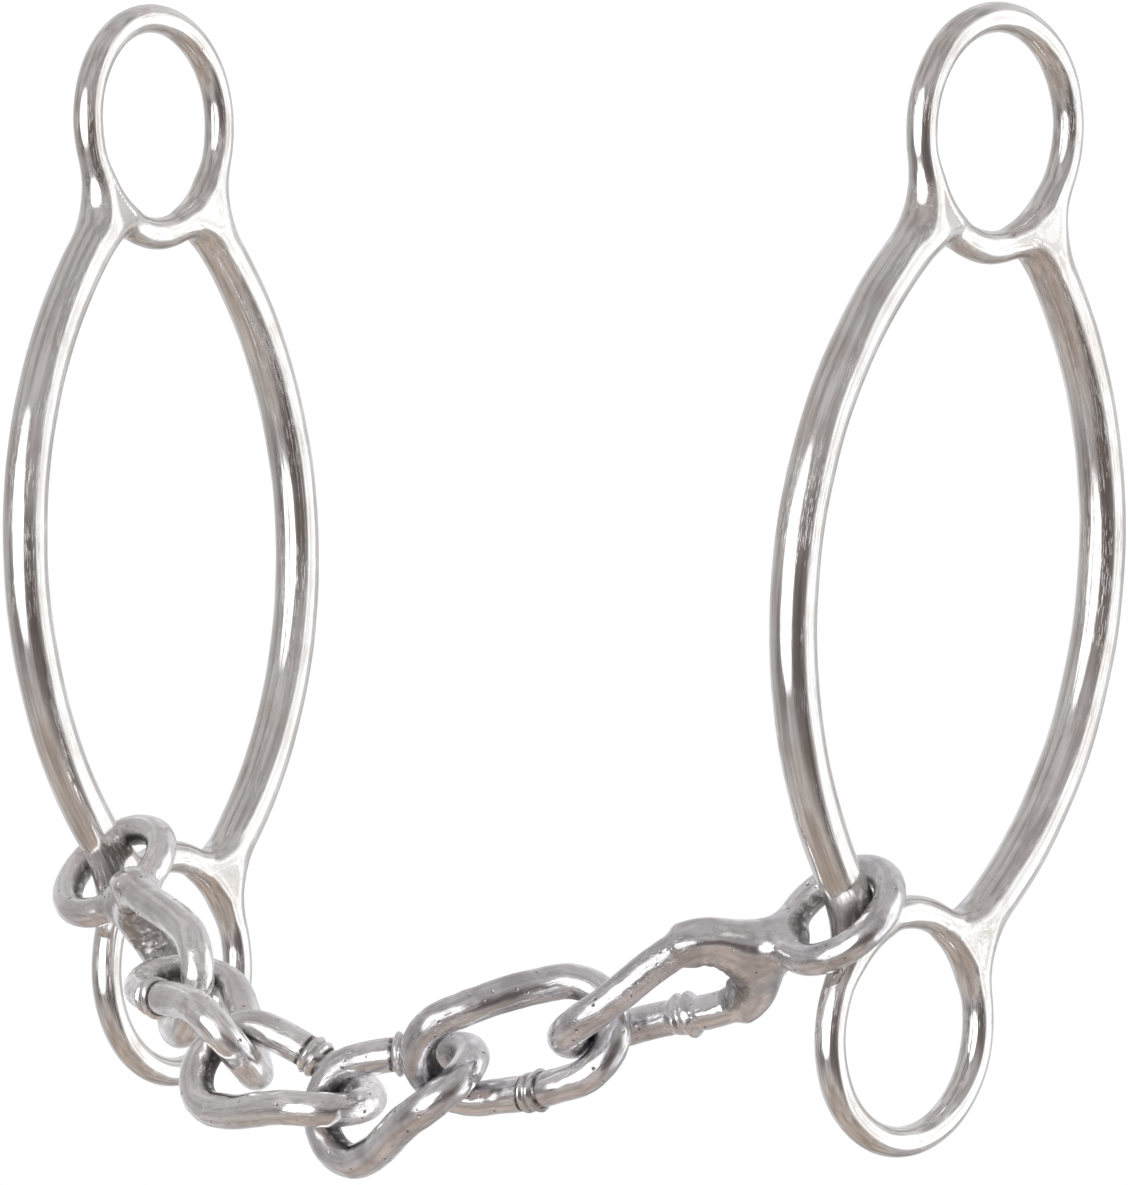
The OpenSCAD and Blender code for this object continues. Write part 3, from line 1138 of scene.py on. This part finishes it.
@dataclass(frozen=True)
class Panel:
    """A patch of the room that the steel reflects, soft-edged, and a rectangle or an oval.

    Seen from the object, its middle is bearing degrees from the way to the camera, towards the
    camera's right, and height degrees above the horizon.
    """

    bearing: float
    height: float
    half_wide: float
    half_high: float
    soft: float
    colour: tuple[float, float, float]
    oval: bool = False

    def mask(self, kit: Nodes, bearing: object, height: object) -> bpy.types.NodeSocket:
        """How much of the patch lies in a direction.

        An oval is where (turn / half_wide)^n + (rise / half_high)^n is under 1, n being OVAL_POWER.

        Args:
            kit: the world's nodes.
            bearing: the direction's bearing.
            height: the direction's height.

        Returns:
            A value from 0 to 1.
        """
        turn = kit.maths("WRAP", kit.maths("SUBTRACT", bearing, self.bearing), 180.0)
        turn.node.inputs[2].default_value = -180.0
        offs = (kit.maths("ABSOLUTE", turn),
                kit.maths("ABSOLUTE", kit.maths("SUBTRACT", height, self.height)))
        halves = (self.half_wide, self.half_high)
        if self.oval:
            parts = [kit.maths("POWER", kit.maths("DIVIDE", off, half), OVAL_POWER)
                     for off, half in zip(offs, halves)]
            edge = OVAL_POWER * self.soft / self.half_wide
            return kit.band(kit.maths("ADD", *parts), 1 - edge, 1 + edge, 1, 0)
        parts = [kit.band(off, half - self.soft, half + self.soft, 1, 0)
                 for off, half in zip(offs, halves)]
        return kit.maths("MULTIPLY", *parts)


ROOM = (
    Panel(0, -90, 190, 52, 18, (0.52, 0.445, 0.395)),
    Panel(165, 6, 62, 44, 16, (0.72, 0.71, 0.72)),
    Panel(140, -40, 45, 16, 12, (0.46, 0.44, 0.43)),
    Panel(88, 2, 24, 36, 7, (1.5, 1.5, 1.5)),
    Panel(-75, -16, 26, 12, 10, (0.27, 0.25, 0.24)),
    Panel(24, -10, 31, 23, 13, (0.17, 0.145, 0.135)),
    Panel(-35, 4, 28, 24, 4, (2.2, 2.2, 2.2), oval=True),
)


@dataclass
class Studio:
    """A white studio: a pale floor, soft light from all round, and the camera."""

    clearance: float = 12.0
    floor_size: float = 6.0
    place: tuple[float, float, float] = (784.0, -989.0, -29.3)
    forward: tuple[float, float, float] = (-0.6514, 0.7585, -0.0211)
    right: tuple[float, float, float] = (0.7581, 0.6517, 0.0223)
    lens: float = 341.6
    sensor: float = 36.0
    clip_end: float = 50.0
    plain_light: float = 1.07
    room_tone: tuple[float, float, float] = (0.50, 0.475, 0.47)
    clutter: tuple[float, float] = (0.70, 1.20)
    clutter_scale: float = 3.2
    floor_tone: float = 0.98

    def floor(self, low: float) -> None:
        """A plain pale floor a little below the object.

        Args:
            low: height of the object's lowest point, in metres.
        """
        half = self.floor_size / 2
        z = low / MM - self.clearance
        corners = np.array([[-half, -half, 0], [half, -half, 0], [half, half, 0], [-half, half, 0]]) / MM
        piece = make_piece("floor", corners + [0, 0, z], np.array([[0, 1, 2, 3]]))
        material = bpy.data.materials.new("pale_floor")
        material.use_nodes = True
        shader = material.node_tree.nodes["Principled BSDF"]
        shader.inputs["Base Color"].default_value = (*(self.floor_tone,) * 3, 1)
        shader.inputs["Roughness"].default_value = 0.9
        piece.data.materials.append(material)
        piece.visible_glossy = False
        piece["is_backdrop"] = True

    def light(self) -> None:
        """Soft light from the whole room, with the panels that the steel mirrors."""
        world = bpy.data.worlds.new("studio")
        bpy.context.scene.world = world
        bpy.context.scene.view_settings.view_transform = "Standard"
        world.use_nodes = True
        tree = world.node_tree
        tree.nodes.clear()
        kit = Nodes(tree)
        way = kit.add("ShaderNodeTexCoord").outputs["Generated"]
        ahead = -unit(np.array([self.forward[0], self.forward[1], 0.0]))
        beside = np.array([-ahead[1], ahead[0], 0.0])
        along = []
        for axis in (ahead, beside, np.array([0.0, 0.0, 1.0])):
            dot = kit.add("ShaderNodeVectorMath", operation="DOT_PRODUCT")
            kit.feed(dot.inputs[0], way)
            dot.inputs[1].default_value = axis.tolist()
            along.append(dot.outputs["Value"])
        bearing = kit.maths("DEGREES", kit.maths("ARCTAN2", along[1], along[0]))
        height = kit.maths("DEGREES", kit.maths("ARCSINE", along[2]))
        colour: object = (*self.room_tone, 1)
        for panel in ROOM:
            mix = kit.add("ShaderNodeMix", data_type="RGBA", clamp_factor=True)
            kit.feed(mix.inputs["Factor"], panel.mask(kit, bearing, height))
            kit.feed(mix.inputs["A"], colour)
            mix.inputs["B"].default_value = (*panel.colour, 1)
            colour = mix.outputs["Result"]
        mirrored = kit.add("ShaderNodeBackground")
        kit.feed(mirrored.inputs["Color"], colour)
        cluttered = kit.band(kit.noise(way, self.clutter_scale, 3), 0.32, 0.66, *self.clutter)
        kit.feed(mirrored.inputs["Strength"], cluttered)
        plain = kit.add("ShaderNodeBackground")
        plain.inputs["Color"].default_value = (1, 1, 1, 1)
        plain.inputs["Strength"].default_value = self.plain_light
        either = kit.add("ShaderNodeMixShader")
        kit.feed(either.inputs[0], kit.add("ShaderNodeLightPath").outputs["Is Glossy Ray"])
        kit.feed(either.inputs[1], plain.outputs[0])
        kit.feed(either.inputs[2], mirrored.outputs[0])
        kit.feed(kit.add("ShaderNodeOutputWorld").inputs[0], either.outputs[0])

    def camera(self) -> None:
        """The camera, by its place and its forward and right directions."""
        data = bpy.data.cameras.new("camera")
        camera = bpy.data.objects.new("camera", data)
        bpy.context.scene.collection.objects.link(camera)
        data.sensor_fit = "HORIZONTAL"
        data.sensor_width = self.sensor
        data.lens = self.lens
        data.clip_end = self.clip_end
        forward, right = unit(np.array(self.forward)), unit(np.array(self.right))
        turn = Matrix(np.stack([right, np.cross(right, forward), -forward], axis=1).tolist()).to_4x4()
        camera.matrix_world = Matrix.Translation(np.array(self.place) * MM) @ turn
        bpy.context.scene.camera = camera


def main() -> None:
    """Builds the studio and the pieces in order."""
    logging.basicConfig(level=logging.INFO, format="%(message)s")
    frame_box = [[float(v) for v in corner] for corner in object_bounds()]
    studio = Studio()
    studio.camera()
    studio.floor(frame_box[0][2])
    studio.light()
    polished, tumbled, lit_tumbled = POLISHED.build(), TUMBLED.build(), LIT_TUMBLED.build()
    pieces = [Cheek(side).build(polished) for side in Side]
    # The left mouth end and links 1 and 2 take the brighter copy of the tumbled finish, painted light.
    pieces += [MouthEnd(Side.LEFT).build(lit_tumbled), MouthEnd(Side.RIGHT).build(tumbled)]
    pieces += [ChainLink(number).build(lit_tumbled) for number in (1, 2)]
    pieces += [ChainLink(number).build(tumbled) for number in (3, 4)]
    for piece in pieces:
        LOG.info("%s: %d faces", piece.name, len(piece.data.polygons))


if __name__ == "__main__":
    main()
